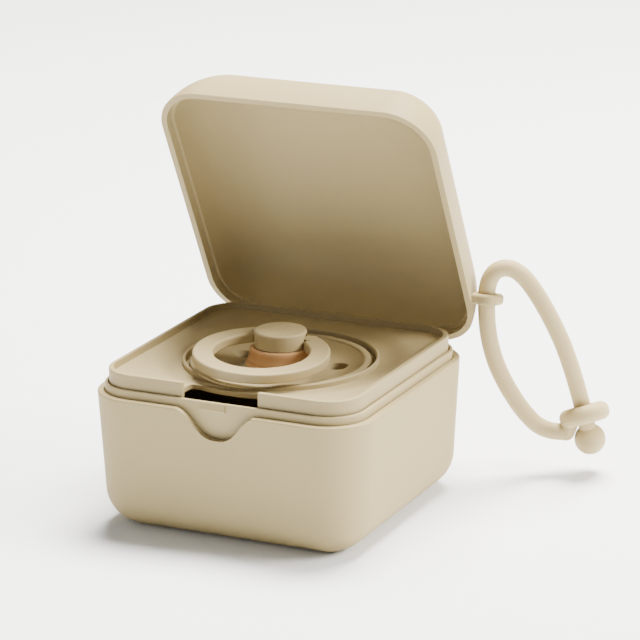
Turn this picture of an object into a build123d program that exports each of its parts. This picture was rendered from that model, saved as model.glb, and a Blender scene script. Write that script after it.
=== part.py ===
from build123d import *
from math import sin, cos, tan, radians, sqrt
import os

os.makedirs("parts", exist_ok=True)

# ---- driving dimensions, mm ------------------------------------------------
# Origin: centre of the base's flat underside. +Z up, notch on -Y, hinge on +Y,
# strap lug on +X. The lid is drawn open, as it stands.
draft = 3.3             # wall draft of the base, degrees per side
slope = tan(radians(draft))

case_half = 36.15       # outer shell, half width at its top edge
case_corner = 11.8
case_top = 34.0
case_bottom_r = 9.6          # outer edge of the underside
hollow_bottom_r = 7.8
case_wall = 1.6
case_floor = 2.0
notch_half = [(0.0, 6.95), (1.0, 6.93), (2.2, 6.72), (3.3, 6.2), (4.3, 5.45), (5.2, 4.5),
              (6.0, 3.5), (6.8, 2.5), (7.6, 1.65), (8.6, 0.85), (9.6, 0.32), (10.8, 0.0)]

liner_half = 34.25      # liner, half width of its lip
liner_corner = 9.6
lip_top = 36.0
lip_wall = 0.76
ledge_z = 30.0
liner_low_half = 32.6   # liner below its stiff band
band_bottom = 26.3

tray_half = 33.2
tray_corner = 8.6
tray_top = 39.6
tray_wall = 1.15
tray_edge_floor = 38.0
tray_mid_floor = 36.75
floor_t = 1.15
collar_r = 24.1
collar_in = 23.3
collar_top = 38.05
collar_dip = 1.2
seat_top = 34.8
seat_in = 19.0
slot_half = 10.0
slot_arc_r = 27.7

lid_half = 36.85
lid_corner = 12.0
lid_gap = 0.3           # rim to shell edge when shut
lid_depth = 18.1
lid_wall = 1.5
land_in = 35.28
rebate_d = 2.3
cavity_half = 34.33
lid_open = 63.26        # how far the lid stands open, degrees

axis_y, axis_z = 37.6, 33.0
barrel_r = 1.9
barrel_clear = 2.15
pin_r = 0.8
pin_bore = 0.86
knuckle_in, knuckle_out = 7.1, 14.0

lug_y, lug_d = 24.72, 4.4
lug_tilt = 52.0          # slant of the lug plate, degrees
lug_t = 2.7
strap_r = 2.15
strap_x = 39.0

shield_r = 22.3
knob_r = 6.43
knob_bottom, knob_top = 40.4, 45.1
ring_out, ring_in, ring_t = 16.66, 11.75, 2.5
ring_reach = 12.4       # axle to ring centre
axle_r, axle_bore = 1.0, 1.06


def on_lid(p):
    """closed-lid point -> the same point with the lid standing open"""
    a = radians(lid_open)
    y, z = p[1] - axis_y, p[2] - axis_z
    return (p[0], axis_y + y * cos(a) + z * sin(a), axis_z - y * sin(a) + z * cos(a))


# ---- outer case --------------------------------------------------------------
with BuildPart() as case_hollow:
    with BuildSketch(Plane.XY.offset(case_top)):
        RectangleRounded(2 * (case_half - case_wall), 2 * (case_half - case_wall), case_corner - case_wall)
    extrude(amount=-(case_top - case_floor), taper=draft)
    fillet(case_hollow.faces().sort_by(Axis.Z)[0].edges(), hollow_bottom_r)
    with BuildSketch(Plane.XY.offset(case_top)):
        RectangleRounded(2 * (case_half - case_wall), 2 * (case_half - case_wall), case_corner - case_wall)
    extrude(amount=2)

with BuildPart() as outer_case:
    with BuildSketch(Plane.XY.offset(case_top)):
        RectangleRounded(2 * case_half, 2 * case_half, case_corner)
    extrude(amount=-case_top, taper=draft)
    fillet(outer_case.faces().sort_by(Axis.Z)[0].edges(), case_bottom_r)
    fillet(outer_case.faces().sort_by(Axis.Z)[-1].edges(), 0.45)
    add(case_hollow.part, mode=Mode.SUBTRACT)
    # bell-shaped notch in the front wall
    with BuildSketch(Plane.XZ.offset(30)):
        with BuildLine():
            right = [(x, case_top - d) for x, d in notch_half]
            left = [(-x, z) for x, z in reversed(right[1:])]
            bell = Spline(*(left + right), tangents=((1, -0.05), (1, 0.05)))
            Polyline((notch_half[-1][0], case_top), (notch_half[-1][0], case_top + 3),
                     (-notch_half[-1][0], case_top + 3), (-notch_half[-1][0], case_top))
        make_face()
    extrude(amount=10, mode=Mode.SUBTRACT)
    # two hinge knuckles with their gussets
    for side in (-1, 1):
        x0 = side * knuckle_in if side > 0 else -knuckle_out
        with BuildSketch(Plane.YZ.offset(x0)):
            with Locations((axis_y, axis_z)):
                Circle(barrel_r)
            with BuildLine():
                Polyline((axis_y - 1.65, axis_z + 0.9), (axis_y + 1.86, axis_z - 0.4), (axis_y + 1.3, axis_z - 1.8),
                         (36.0, 27.6), (35.6, 27.6), (axis_y - 1.65, axis_z + 0.9), close=False)
            make_face()
        extrude(amount=knuckle_out - knuckle_in)
    # room for the lid's knuckle, and the pin hole
    with Locations((0, axis_y, axis_z)):
        Cylinder(barrel_clear, 2 * knuckle_in, rotation=(0, 90, 0), mode=Mode.SUBTRACT)
        Cylinder(pin_r, 2 * knuckle_out, rotation=(0, 90, 0), mode=Mode.SUBTRACT)
outer_case.part.label = "outer_case"
export_step(outer_case.part, "parts/outer_case.step")

# ---- hinge pin ------------------------------------------------------------------
with BuildPart() as hinge_pin:
    with Locations((0, axis_y, axis_z)):
        Cylinder(pin_r, 2 * knuckle_out, rotation=(0, 90, 0))
    chamfer(hinge_pin.edges(), 0.2)
hinge_pin.part.label = "hinge_pin"
export_step(hinge_pin.part, "parts/hinge_pin.step")

# ---- liner cup --------------------------------------------------------------------
gap_half = liner_half - slope * (case_top - band_bottom)
with BuildPart() as liner_hollow:
    with BuildSketch(Plane.XY.offset(lip_top)):
        RectangleRounded(2 * (liner_half - lip_wall), 2 * (liner_half - lip_wall), liner_corner - lip_wall)
    extrude(amount=-(lip_top - ledge_z), taper=draft)
    with BuildSketch(Plane.XY.offset(ledge_z)):
        RectangleRounded(2 * 31.7, 2 * 31.7, 7.6)
    extrude(amount=-(ledge_z - 3.0), taper=draft)
    fillet(liner_hollow.faces().sort_by(Axis.Z)[0].edges(), 5.0)

with BuildPart() as liner_cup:
    with BuildSketch(Plane.XY.offset(case_top)):
        RectangleRounded(2 * liner_half, 2 * liner_half, liner_corner)
    extrude(amount=lip_top - case_top)
    with BuildSketch(Plane.XY.offset(case_top)):
        RectangleRounded(2 * liner_half, 2 * liner_half, liner_corner)
    extrude(amount=-(case_top - band_bottom), taper=draft)
    with BuildSketch(Plane.XY.offset(band_bottom)):
        RectangleRounded(2 * liner_low_half, 2 * liner_low_half, 8.5)
    extrude(amount=-(band_bottom - case_floor), taper=draft)
    fillet(liner_cup.faces().sort_by(Axis.Z)[0].edges(), 6.6)
    fillet(liner_cup.faces().sort_by(Axis.Z)[-1].edges(), 0.3)
    add(liner_hollow.part, mode=Mode.SUBTRACT)
liner_cup.part.label = "liner_cup"
export_step(liner_cup.part, "parts/liner_cup.step")

# ---- latch pad on the front of the lip ----------------------------------------------
with BuildPart() as latch_pad:
    with BuildSketch(Plane.YZ.offset(-4.5)):
        with BuildLine():
            Polyline((-liner_half, 35.9), (-liner_half - 0.12, 35.9), (-liner_half - 0.75, 34.3),
                     (-liner_half - 0.5, 33.9), (-liner_half, 33.9), close=True)
        make_face()
    extrude(amount=6.4)
    fillet(latch_pad.edges().filter_by(lambda e: abs(e.center().Z - 33.9) < 0.3 and
                                       abs(e.center().X + 1.3) > 3.0 and e.length > 0.1).filter_by(Axis.Y), 0.15)
latch_pad.part.label = "latch_pad"
export_step(latch_pad.part, "parts/latch_pad.step")

# ---- insert tray -----------------------------------------------------------------------
with BuildPart() as dish:               # everything under the tray's dished floor
    with BuildSketch(Plane.XZ):
        with BuildLine():
            Polyline((60, tray_edge_floor), (60, 30), (0, 30), (0, tray_mid_floor), (25.0, tray_mid_floor))
            Spline((25.0, tray_mid_floor), (28.8, tray_mid_floor + 0.62), (32.6, tray_edge_floor),
                   tangents=((1, 0), (1, 0)))
            Line((32.6, tray_edge_floor), (60, tray_edge_floor))
        make_face()
    revolve(axis=Axis.Z)

with BuildPart() as floor_top:          # everything over the floor's underside
    with BuildSketch(Plane.XZ):
        with BuildLine():
            Polyline((60, tray_edge_floor - floor_t), (60, 48), (0, 48), (0, tray_mid_floor - floor_t),
                     (25.0, tray_mid_floor - floor_t))
            Spline((25.0, tray_mid_floor - floor_t), (28.8, tray_mid_floor + 0.62 - floor_t),
                   (32.6, tray_edge_floor - floor_t), tangents=((1, 0), (1, 0)))
            Line((32.6, tray_edge_floor - floor_t), (60, tray_edge_floor - floor_t))
        make_face()
    revolve(axis=Axis.Z)

with BuildPart() as under_room:         # the space inside the skirt, up to the floor's underside
    with BuildSketch(Plane.XY.offset(37.0)):
        RectangleRounded(2 * 32.1, 2 * 32.1, 7.3)
    extrude(amount=-9, taper=draft)
    add(floor_top.part, mode=Mode.SUBTRACT)

with BuildPart() as tray_room:          # the space above the floor
    with BuildSketch(Plane.XY.offset(36.0)):
        RectangleRounded(2 * (tray_half - tray_wall), 2 * (tray_half - tray_wall), tray_corner - tray_wall)
    extrude(amount=5)
    add(dish.part, mode=Mode.SUBTRACT)

with BuildPart() as insert_tray:
    with BuildSketch(Plane.XY.offset(lip_top)):
        RectangleRounded(2 * tray_half, 2 * tray_half, tray_corner)
    extrude(amount=tray_top - lip_top)
    with BuildSketch(Plane.XY.offset(lip_top)):
        RectangleRounded(2 * tray_half, 2 * tray_half, tray_corner)
    extrude(amount=-(lip_top - ledge_z), taper=draft)
    fillet(insert_tray.faces().sort_by(Axis.Z)[-1].edges(), 0.35)
    add(tray_room.part, mode=Mode.SUBTRACT)
    add(under_room.part, mode=Mode.SUBTRACT)
    # collar, seat ring and the open middle
    with BuildSketch(Plane.XZ):
        with BuildLine():
            Polyline((collar_in, 36.0), (collar_in, collar_top - 0.25), (collar_in + 0.25, collar_top),
                     (collar_r - 0.3, collar_top), (collar_r, collar_top - 0.3), (collar_r, 35.7),
                     (23.9, 35.0), (22.9, 34.1), (21.8, 33.7), (seat_in, 33.7), (seat_in, seat_top),
                     (22.45, seat_top), (23.1, 35.3), (collar_in, 36.0), close=False)
        make_face()
    revolve(axis=Axis.Z)
    with Locations((0, 0, 36.0)):
        Cylinder(collar_in, 6, align=(Align.CENTER, Align.CENTER, Align.MIN), mode=Mode.SUBTRACT)
    with Locations((0, 0, seat_top)):
        Cylinder(22.45, 6, align=(Align.CENTER, Align.CENTER, Align.MIN), mode=Mode.SUBTRACT)
    with Locations((0, 0, 30)):
        Cylinder(seat_in, 6, align=(Align.CENTER, Align.CENTER, Align.MIN), mode=Mode.SUBTRACT)
    # the collar's low front
    with BuildSketch(Plane.XZ.offset(15)):
        with Locations((0, collar_top - collar_dip + 82)):
            Circle(82)
    extrude(amount=9.6, mode=Mode.SUBTRACT)
    # finger slot
    with BuildSketch(Plane.XY.offset(29)) as slot:
        with Locations((0, -30)):
            Rectangle(2 * slot_half, 24)
        Circle(slot_arc_r, mode=Mode.SUBTRACT)
        fillet(slot.vertices().filter_by(lambda v: abs(abs(v.X) - slot_half) < 0.01 and -27 < v.Y < -25), 1.5)
    extrude(amount=14, mode=Mode.SUBTRACT)
insert_tray.part.label = "insert_tray"
export_step(insert_tray.part, "parts/insert_tray.step")


# ---- lid -----------------------------------------------------------------------------------
def lid_outer(d):
    t = (d + 1.57) / 19.67
    return lid_half - 0.05 * d - 10.98 * (1 - sqrt(max(0.0, 1 - t * t)))


rim_z = case_top + lid_gap
lug_plane = Plane(origin=(0, lug_y, rim_z + lug_d), x_dir=(1, 0, 0),
                  z_dir=(0, -sin(radians(lug_tilt)), cos(radians(lug_tilt))))
with BuildPart() as lid_room:
    with BuildSketch(Plane.XY.offset(rim_z)):
        RectangleRounded(2 * cavity_half, 2 * cavity_half, lid_corner - (lid_half - cavity_half))
    extrude(amount=4.8)
    for ang in (0.0, 20, 36, 50, 62, 73, 82, 88):
        # inner skin, an even wall in from the outer one
        a = radians(ang)
        d = 4.8 + (lid_depth - lid_wall - 4.8) * sin(a)
        h = cavity_half - (cavity_half - 23.6) * (1 - cos(a))
        with BuildSketch(Plane.XY.offset(rim_z + d)):
            RectangleRounded(2 * h, 2 * h, lid_corner - (lid_half - cavity_half) - 3.0 * (1 - cos(a)))
    loft()

with BuildPart() as lid_shut:
    for ang in (4.58, 14, 26, 38, 50, 61, 71, 80, 87):
        d = max(0.0, 19.67 * sin(radians(ang)) - 1.57)
        h = lid_outer(d)
        with BuildSketch(Plane.XY.offset(rim_z + d)):
            RectangleRounded(2 * h, 2 * h, lid_corner - 0.5 * (lid_half - h) + 0.017 * (lid_half - h) ** 2)
    loft()
    # lug on the right wall, a slanted plate
    with BuildSketch(lug_plane.offset(-lug_t / 2)):
        with Locations((39.35, 0)):
            RectangleRounded(6.9, 8.8, 3.3)
        with Locations((37.0, 0)):
            Rectangle(2.4, 8.8)
    extrude(amount=lug_t)
    fillet(lid_shut.edges().filter_by(lambda e: e.center().X > 37.2 and
                                      abs(abs((e.center() - lug_plane.origin).dot(lug_plane.z_dir)) - lug_t / 2) < 0.01), 0.9)
    add(lid_room.part, mode=Mode.SUBTRACT)
    with BuildSketch(Plane.XY.offset(rim_z)):
        RectangleRounded(2 * land_in, 2 * land_in, lid_corner - (lid_half - land_in))
    extrude(amount=rebate_d, mode=Mode.SUBTRACT)
    # knuckle with its gusset
    with BuildSketch(Plane.YZ.offset(-(knuckle_in - 0.3))):
        with Locations((axis_y, axis_z)):
            Circle(barrel_r)
        with BuildLine():
            Polyline((axis_y - 1.7, axis_z + 0.85), (axis_y + 1.86, axis_z + 0.4), (axis_y + 0.9, axis_z + 3.4),
                     (36.3, 39.2), (35.7, 39.2), (35.45, 36.0), (35.45, rim_z), (36.0, rim_z),
                     (axis_y - 1.7, axis_z + 0.85), close=False)
        make_face()
    extrude(amount=2 * (knuckle_in - 0.3))
    # room for the case's knuckles, and the pin hole
    for side in (-1, 1):
        with Locations((side * (knuckle_in + knuckle_out) / 2, axis_y, axis_z)):
            Cylinder(barrel_clear, knuckle_out - knuckle_in + 0.6, rotation=(0, 90, 0), mode=Mode.SUBTRACT)
    with Locations((0, axis_y, axis_z)):
        Cylinder(pin_bore, 2 * knuckle_in, rotation=(0, 90, 0), mode=Mode.SUBTRACT)
    # the strap's hole through the lug
    with Locations(Plane(origin=(strap_x, lug_y, rim_z + lug_d), z_dir=(0, -sin(radians(lid_open)), cos(radians(lid_open))))):
        Cylinder(2.45, 12, mode=Mode.SUBTRACT)

lid_moved = lid_shut.part.rotate(Axis((0, axis_y, axis_z), (1, 0, 0)), -lid_open)
with BuildPart() as lid:
    add(lid_moved)
lid.part.label = "lid"
export_step(lid.part, "parts/lid.step")
print("lid solids", len(lid.part.solids()), "volume", lid.part.volume)

# ---- strap: one loop of round silicone, threaded through the lug ------------------------------
lug_c = on_lid((strap_x, lug_y, rim_z + lug_d))
run_dir = (0.894, 0.448)


def hang(s, z):
    """loop coordinates (sideways, height) -> point in the loop's plane"""
    return (lug_c[0] + run_dir[0] * s + 0.0202 * (z - lug_c[2]),
            lug_c[1] + run_dir[1] * s - 0.101 * (z - lug_c[2]), z)


disc_s, disc_z = 24.15, 15.3
end_dir = (0.2045, -0.9789)
ball_gap = 6.9
strap_end = (disc_s + end_dir[0] * (ball_gap - 3.31), disc_z + end_dir[1] * (ball_gap - 3.31))
route_2d = [(17.3, 10.8), (13.6, 11.2), (8.92, 16.15), (4.79, 23.12), (1.52, 30.83), (-0.24, 40.22),
            (0.15, 54.0), (7.35, 55.9), (14.52, 45.04), (21.4, 28.5), strap_end]
strap_route = [hang(s, z) for s, z in route_2d]


def bend_radii(pts):
    out = []
    for a, b, c in zip(pts, pts[1:], pts[2:]):
        va, vb = Vector(*b) - Vector(*a), Vector(*c) - Vector(*b)
        turn = radians(va.get_angle(vb))
        out.append(0.45 * min(va.length, vb.length) / tan(turn / 2))
    return out


strap_radii = bend_radii(strap_route)
print("strap radii", [round(r, 1) for r in strap_radii])
with BuildPart() as strap_cord:
    with BuildLine() as strap_line:
        FilletPolyline(*strap_route, radius=strap_radii)
    with BuildSketch(Plane(origin=strap_route[0], z_dir=Vector(*strap_route[1]) - Vector(*strap_route[0]))):
        Circle(strap_r)
    sweep(path=strap_line.wires()[0])
print("strap length", strap_line.wires()[0].length, "volume", strap_cord.part.volume,
      "expected", strap_line.wires()[0].length * 3.14159 * strap_r ** 2)
strap_cord.part.label = "strap_cord"
export_step(strap_cord.part, "parts/strap_cord.step")

end_vec = Vector(*strap_route[-1]) - Vector(*strap_route[-2])
end_vec = end_vec.normalized()
disc_c = Vector(*hang(disc_s, disc_z))
start_vec = (Vector(*strap_route[0]) - Vector(*strap_route[1])).normalized()
neck_run = 2.2
neck_c = Vector(*strap_route[0]) + start_vec * neck_run
neck_top = Vector(*hang(21.2, 14.7))
# the disc leans a little off the strand that runs through it
lean = Vector(0.4176, -0.8564, 0.3037)
disc_axis = (end_vec - lean * end_vec.dot(lean)).normalized()
with BuildPart() as strap_link:
    with BuildSketch(Plane(origin=disc_c, z_dir=disc_axis)):
        Circle(6.4)
    extrude(amount=2.3, both=True)
    fillet(strap_link.edges(), 2.05)
    # the neck that joins the strap's near end to the disc
    with BuildSketch(Plane(origin=strap_route[0], z_dir=start_vec)):
        Circle(strap_r)
    extrude(amount=neck_run)
    with Locations(Location(neck_c)):
        Sphere(strap_r + 0.02)
    with BuildSketch(Plane(origin=neck_c, z_dir=neck_top - neck_c)):
        Circle(strap_r)
    extrude(amount=(neck_top - neck_c).length)
    with Locations(Plane(origin=disc_c, z_dir=end_vec)):
        Cylinder(2.5, 12, mode=Mode.SUBTRACT)
strap_link.part.label = "strap_link"
export_step(strap_link.part, "parts/strap_link.step")

ball_c = disc_c + end_vec * ball_gap
with BuildPart() as strap_ball:
    with Locations(Location(ball_c)):
        Sphere(3.95)
    with BuildSketch(Plane(origin=Vector(*strap_route[-1]), z_dir=-end_vec)):
        Rectangle(12, 12)
    extrude(amount=5, mode=Mode.SUBTRACT)
strap_ball.part.label = "strap_ball"
export_step(strap_ball.part, "parts/strap_ball.step")
print("ball centre", ball_c, "disc centre", disc_c)

ring_plane = Plane(origin=(0, 1.7, 42.12), x_dir=(1, 0, -0.033), z_dir=(0.033, -0.047, 1))

# ---- pacifier ---------------------------------------------------------------------------------
with BuildPart() as pacifier_shield:
    with BuildSketch(Plane.XZ):
        with BuildLine():
            Spline((8.9, 35.9), (11.2, 35.3), (13.8, 35.1), (17.0, 35.55), (20.2, 36.85),
                   tangents=((1, -0.5), (1, 0.42)))
            Polyline((20.2, 36.85), (20.4, 37.15), (20.9, 37.3), (21.8, 37.3), (22.15, 37.1), (22.3, 36.7),
                     (22.3, 35.3), (21.9, 34.95), (19.0, 34.95))
            Spline((19.0, 34.95), (17.0, 33.8), (13.8, 33.3), (8.9, 33.9), tangents=((-1, -0.6), (-1, 0.15)))
            Polyline((8.9, 33.9), (5.2, 34.1), (5.2, 36.2), (8.9, 36.2), (8.9, 35.9))
        make_face()
    revolve(axis=Axis.Z)
    for ang in (25.5, 154.5, 270):
        with Locations((13.8 * cos(radians(ang)), 13.8 * sin(radians(ang)), 35)):
            Cylinder(2.75, 8, mode=Mode.SUBTRACT)
pacifier_shield.part.label = "pacifier_shield"
export_step(pacifier_shield.part, "parts/pacifier_shield.step")

with BuildPart() as pacifier_teat:
    with BuildSketch(Plane.XZ):
        with BuildLine():
            Polyline((3.2, 40.35), (6.3, 40.35), (6.52, 40.64), (6.9, 40.66))
            Spline((6.9, 40.66), (7.42, 40.28), (7.62, 39.5), (7.82, 38.5), (8.2, 37.4), (8.75, 36.3),
                   tangents=((1, 0), (0.6, -1)))
            Polyline((8.75, 36.3), (8.75, 36.2), (5.15, 36.2), (5.15, 34.0), (6.9, 33.6), (6.9, 32.7), (5.6, 32.0))
            Spline((5.6, 32.0), (5.1, 29.0), (6.2, 23.5), (7.9, 17.0), (6.4, 11.2), (0, 8.6),
                   tangents=((-0.4, -1), (-1, 0)))
            Line((0, 8.6), (0, 9.8))
            Spline((0, 9.8), (5.4, 12.0), (6.7, 17.0), (5.0, 23.5), (3.9, 28.6), tangents=((1, 0), (-0.1, 1)))
            Polyline((3.9, 28.6), (3.9, 30.3), (3.2, 30.4), (3.2, 40.35))
        make_face()
    revolve(axis=Axis.Z)
    # room beside the knob for the ring's shoulders as the ring swings
    for side in (-1, 1):
        with Locations(ring_plane):
            with Locations((side * 9.3, 0, 0)):
                Cylinder(3.45, 8.2, rotation=(0, 90, 0), mode=Mode.SUBTRACT)
pacifier_teat.part.label = "pacifier_teat"
export_step(pacifier_teat.part, "parts/pacifier_teat.step")

with BuildPart() as pacifier_plug:
    with BuildSketch(Plane.XZ):
        with BuildLine():
            Polyline((0, 40.4), (3.2, 40.4), (3.2, 30.4), (3.8, 30.2), (3.8, 29.4), (3.0, 28.6), (0, 28.6), close=True)
        make_face()
    revolve(axis=Axis.Z)
pacifier_plug.part.label = "pacifier_plug"
export_step(pacifier_plug.part, "parts/pacifier_plug.step")

with BuildPart() as pacifier_knob:
    with BuildSketch(Plane.XZ):
        with BuildLine():
            Polyline((0, knob_bottom), (knob_r - 0.3, knob_bottom), (knob_r, knob_bottom + 0.4), (knob_r, 44.7))
            ThreePointArc((knob_r, 44.7), (knob_r / 2, knob_top - 0.1), (0, knob_top))
            Line((0, knob_top), (0, knob_bottom))
        make_face()
    revolve(axis=Axis.Z)
    fillet(pacifier_knob.edges().filter_by(lambda e: abs(e.center().Z - 44.7) < 0.01), 0.5)
    with Locations(ring_plane):
        Cylinder(axle_bore, 20, rotation=(0, 90, 0), mode=Mode.SUBTRACT)
        # round pockets in the knob's sides that take the ring's noses
        for side in (-1, 1):
            with Locations((side * 7.0, 0, 0)):
                Cylinder(2.15, 4.0, rotation=(0, 90, 0), mode=Mode.SUBTRACT)
pacifier_knob.part.label = "pacifier_knob"
export_step(pacifier_knob.part, "parts/pacifier_knob.step")

ring_mid = ring_plane.offset(-0.29)
with BuildPart() as pacifier_ring:
    with BuildSketch(ring_mid.offset(-ring_t / 2)):
        with Locations((0, -ring_reach)):
            Circle(ring_out)
            Circle(ring_in, mode=Mode.SUBTRACT)
        with Locations((0, 1.0)):
            Rectangle(2 * 6.72, 16, mode=Mode.SUBTRACT)
    extrude(amount=ring_t)
    fillet(pacifier_ring.edges(), 0.5)
    for side in (-1, 1):
        with Locations(ring_plane.offset(-0.2)):
            with Locations((side * 6.6, 0, 0)):
                Box(2.6, 3.0, 2.5)
    fillet(pacifier_ring.edges().filter_by(lambda e: e.length > 2 and abs(abs(e.center().X) - 5.3) < 0.06), 0.6)
    with Locations(ring_plane):
        Cylinder(axle_r, 18, rotation=(0, 90, 0))
pacifier_ring.part.label = "pacifier_ring"
export_step(pacifier_ring.part, "parts/pacifier_ring.step")
for p in (outer_case, liner_cup, latch_pad, insert_tray, lid, strap_cord, strap_link, strap_ball,
          pacifier_shield, pacifier_teat, pacifier_plug, pacifier_knob, pacifier_ring, hinge_pin):
    b = p.part.bounding_box()
    print(p.part.label, len(p.part.solids()), round(p.part.volume, 1),
          [round(v, 2) for v in (b.min.X, b.max.X, b.min.Y, b.max.Y, b.min.Z, b.max.Z)])
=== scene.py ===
import bpy, math
from mathutils import Vector, Matrix


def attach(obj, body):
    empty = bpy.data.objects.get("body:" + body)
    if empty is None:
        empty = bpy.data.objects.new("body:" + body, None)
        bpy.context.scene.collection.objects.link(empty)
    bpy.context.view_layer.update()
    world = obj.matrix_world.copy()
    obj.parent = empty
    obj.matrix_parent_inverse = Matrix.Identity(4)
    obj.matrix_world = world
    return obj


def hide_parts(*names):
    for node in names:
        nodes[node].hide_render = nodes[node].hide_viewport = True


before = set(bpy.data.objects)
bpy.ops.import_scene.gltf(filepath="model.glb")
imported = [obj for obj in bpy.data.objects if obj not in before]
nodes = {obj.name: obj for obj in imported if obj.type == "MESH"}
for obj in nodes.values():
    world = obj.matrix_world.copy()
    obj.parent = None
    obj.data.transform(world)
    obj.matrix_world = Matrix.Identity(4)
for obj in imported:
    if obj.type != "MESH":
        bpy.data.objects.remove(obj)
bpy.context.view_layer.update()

# ---- camera -----------------------------------------------------------------------
az, el, roll = math.radians(25.992), math.radians(17.679), math.radians(-0.758)
distance = 0.83620
target = Vector((-0.000505, 0.0, 0.034))
back = Vector((math.sin(az) * math.cos(el), -math.cos(az) * math.cos(el), math.sin(el)))
right0 = Vector((math.cos(az), math.sin(az), 0.0))
up0 = back.cross(right0)
right = right0 * math.cos(roll) + up0 * math.sin(roll)
up = up0 * math.cos(roll) - right0 * math.sin(roll)
cam_data = bpy.data.cameras.new("camera")
cam = bpy.data.objects.new("camera", cam_data)
bpy.context.scene.collection.objects.link(cam)
m = Matrix((right, up, back)).transposed().to_4x4()
m.translation = target + back * distance
cam.matrix_world = m
cam_data.sensor_width = 36.0
cam_data.lens = 192.306
cam_data.shift_x = 0.063845
cam_data.shift_y = 0.079739
cam_data.clip_start = 0.05
cam_data.clip_end = 20.0
bpy.context.scene.camera = cam


# ---- strap: the soft cord, along its own route --------------------------------------
lug_c = (0.0390, 0.036895, 0.047067)


def hang(s, z):
    return (lug_c[0] + 0.000894 * s + 0.0202 * (z / 1000 - lug_c[2]),
            lug_c[1] + 0.000448 * s - 0.101 * (z / 1000 - lug_c[2]), z / 1000)


def collection_add(o):
    bpy.context.scene.collection.objects.link(o)
    return o


# ---- materials ------------------------------------------------------------------------
def new_mat(name):
    mat = bpy.data.materials.new(name)
    mat.use_nodes = True
    nt = mat.node_tree
    return mat, nt, nt.nodes["Principled BSDF"]


def plastic(name, color, rough=0.5, grain=900.0, bump=0.02, var=0.03, sheen=0.0, sss=0.0, spec=0.4):
    """moulded matte plastic: fine spark-eroded grain, faint tone and gloss changes"""
    mat, nt, bsdf = new_mat(name)
    tc = nt.nodes.new("ShaderNodeTexCoord")
    fine = nt.nodes.new("ShaderNodeTexNoise")
    fine.inputs["Scale"].default_value = grain
    fine.inputs["Detail"].default_value = 3.0
    nt.links.new(tc.outputs["Object"], fine.inputs["Vector"])
    broad = nt.nodes.new("ShaderNodeTexNoise")
    broad.inputs["Scale"].default_value = 38.0
    broad.inputs["Detail"].default_value = 4.0
    nt.links.new(tc.outputs["Object"], broad.inputs["Vector"])
    mix = nt.nodes.new("ShaderNodeMix")
    mix.data_type = "RGBA"
    a = [c * (1 - var) for c in color]
    b = [min(1.0, c * (1 + var)) for c in color]
    mix.inputs["A"].default_value = (*a, 1)
    mix.inputs["B"].default_value = (*b, 1)
    nt.links.new(broad.outputs["Fac"], mix.inputs["Factor"])
    nt.links.new(mix.outputs["Result"], bsdf.inputs["Base Color"])
    mr = nt.nodes.new("ShaderNodeMapRange")
    mr.inputs["From Min"].default_value = 0.3
    mr.inputs["From Max"].default_value = 0.7
    mr.inputs["To Min"].default_value = rough - 0.05
    mr.inputs["To Max"].default_value = rough + 0.05
    nt.links.new(fine.outputs["Fac"], mr.inputs["Value"])
    nt.links.new(mr.outputs["Result"], bsdf.inputs["Roughness"])
    bp = nt.nodes.new("ShaderNodeBump")
    bp.inputs["Strength"].default_value = bump
    bp.inputs["Distance"].default_value = 0.0002
    nt.links.new(fine.outputs["Fac"], bp.inputs["Height"])
    nt.links.new(bp.outputs["Normal"], bsdf.inputs["Normal"])
    bsdf.inputs["Specular IOR Level"].default_value = spec
    if sheen:
        bsdf.inputs["Sheen Weight"].default_value = sheen
    if sss:
        bsdf.inputs["Subsurface Weight"].default_value = sss
        bsdf.inputs["Subsurface Radius"].default_value = (1.0, 0.6, 0.35)
        bsdf.inputs["Subsurface Scale"].default_value = 0.003
    return mat


BEIGE = (0.352, 0.278, 0.138)
shell = plastic("shell_plastic", BEIGE, rough=0.60, grain=1400.0, bump=0.12, var=0.012, spec=0.22)
tray_m = plastic("tray_plastic", (0.335, 0.265, 0.135), rough=0.56, grain=1600.0, bump=0.10, var=0.012, spec=0.22)
liner_m = plastic("liner_plastic", (0.368, 0.291, 0.148), rough=0.54, grain=1600.0, bump=0.10, var=0.012, spec=0.22)
paci_m = plastic("pacifier_plastic", (0.370, 0.293, 0.150), rough=0.50, grain=1500.0, bump=0.08, var=0.015, spec=0.25)
silicone = plastic("silicone", (0.440, 0.348, 0.182), rough=0.58, grain=1100.0, bump=0.10, var=0.015, sss=0.10, spec=0.22)
latex = plastic("latex", (0.420, 0.230, 0.095), rough=0.55, grain=500.0, bump=0.05, var=0.05, sss=0.10, spec=0.2)
steel, nt, bsdf = new_mat("steel")
bsdf.inputs["Metallic"].default_value = 1.0
tc = nt.nodes.new("ShaderNodeTexCoord")
mp = nt.nodes.new("ShaderNodeMapping")
mp.inputs["Scale"].default_value = (20, 900, 900)
ns = nt.nodes.new("ShaderNodeTexNoise")
ns.inputs["Scale"].default_value = 6.0
nt.links.new(tc.outputs["Object"], mp.inputs["Vector"])
nt.links.new(mp.outputs["Vector"], ns.inputs["Vector"])
ramp = nt.nodes.new("ShaderNodeValToRGB")
ramp.color_ramp.elements[0].color = (0.42, 0.42, 0.43, 1)
ramp.color_ramp.elements[1].color = (0.66, 0.66, 0.67, 1)
nt.links.new(ns.outputs["Fac"], ramp.inputs["Fac"])
nt.links.new(ramp.outputs["Color"], bsdf.inputs["Base Color"])
bsdf.inputs["Roughness"].default_value = 0.34

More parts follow.
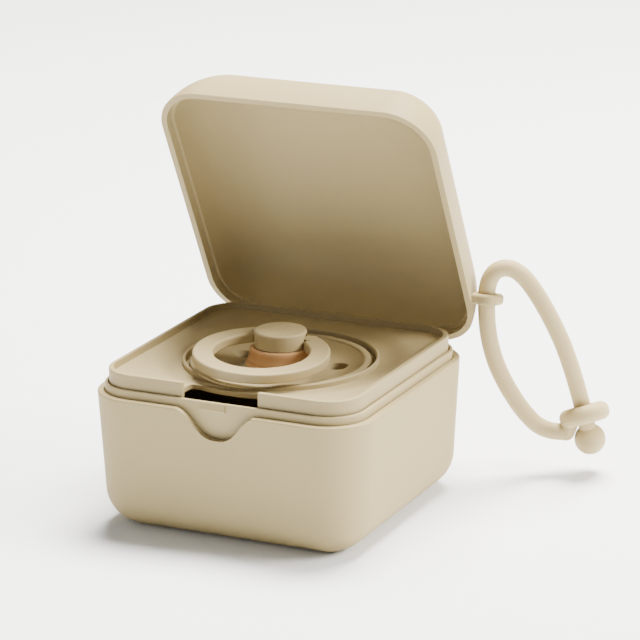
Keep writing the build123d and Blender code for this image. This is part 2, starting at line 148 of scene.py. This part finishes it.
use = {"outer_case": shell, "liner_cup": liner_m, "latch_pad": liner_m, "insert_tray": tray_m, "lid": shell,
       "hinge_pin": steel, "strap_cord": silicone, "strap_link": silicone, "strap_ball": silicone,
       "pacifier_shield": paci_m, "pacifier_knob": paci_m, "pacifier_ring": paci_m,
       "pacifier_teat": latex, "pacifier_plug": paci_m}
for name, mat in use.items():
    o = nodes[name]
    o.data.materials.clear()
    o.data.materials.append(mat)

# ---- strap cord --------------------------------------------------------------------------
strap_r = 0.00215
route = [(17.3, 10.8), (13.6, 11.2), (8.92, 16.15), (4.79, 23.12), (1.52, 30.83), (-0.24, 40.22),
         (0.15, 54.0), (7.35, 55.9), (14.52, 45.04), (21.4, 28.5), (24.8842, 11.7858)]
cu = bpy.data.curves.new("strap", "CURVE")
cu.dimensions = "3D"
sp = cu.splines.new("NURBS")
pts = [hang(s, z) for s, z in route]
sp.points.add(len(pts) - 1)
for p, c in zip(sp.points, pts):
    p.co = (*c, 1.0)
sp.order_u = 3
sp.use_endpoint_u = True
sp.resolution_u = 24
cu.bevel_depth = strap_r
cu.bevel_resolution = 10
cu.use_fill_caps = True
strap = collection_add(bpy.data.objects.new("strap", cu))
cu.materials.append(silicone)
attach(strap, "lid")
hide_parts("strap_cord")

# ---- floor and light -----------------------------------------------------------------------
bpy.ops.mesh.primitive_plane_add(size=6.0, location=(0, 0, 0))
floor = bpy.context.object
floor.name = "floor"
fm, nt, bsdf = new_mat("floor_paper")
tc = nt.nodes.new("ShaderNodeTexCoord")
ns = nt.nodes.new("ShaderNodeTexNoise")
ns.inputs["Scale"].default_value = 60.0
mix = nt.nodes.new("ShaderNodeMix")
mix.data_type = "RGBA"
mix.inputs["A"].default_value = (0.90, 0.93, 0.975, 1)
mix.inputs["B"].default_value = (0.92, 0.95, 0.995, 1)
nt.links.new(tc.outputs["Object"], ns.inputs["Vector"])
nt.links.new(ns.outputs["Fac"], mix.inputs["Factor"])
nt.links.new(mix.outputs["Result"], bsdf.inputs["Base Color"])
bsdf.inputs["Roughness"].default_value = 0.9
floor.data.materials.append(fm)

world = bpy.data.worlds.new("world")
bpy.context.scene.world = world
world.use_nodes = True
bg = world.node_tree.nodes["Background"]
bg.inputs["Color"].default_value = (1.0, 0.99, 0.975, 1)
bg.inputs["Strength"].default_value = 0.30


def area(name, loc, aim, size, power, color=(1, 1, 1)):
    ld = bpy.data.lights.new(name, "AREA")
    ld.shape = "DISK"
    ld.size = size
    ld.energy = power
    ld.color = color
    ob = collection_add(bpy.data.objects.new(name, ld))
    ob.location = loc
    ob.rotation_euler = (Vector(aim) - Vector(loc)).to_track_quat("-Z", "Y").to_euler()
    return ob


area("key", (0.95, 0.30, 0.60), (0, 0, 0.04), 0.55, 27.0, (1.0, 0.955, 0.87))
area("top", (0.02, 0.36, 1.00), (0, 0, 0.04), 0.60, 64.0, (1.0, 0.96, 0.88))
area("front_fill", (-0.6, -0.9, 0.45), (0, 0, 0.05), 0.8, 2.0, (1.0, 0.97, 0.92))
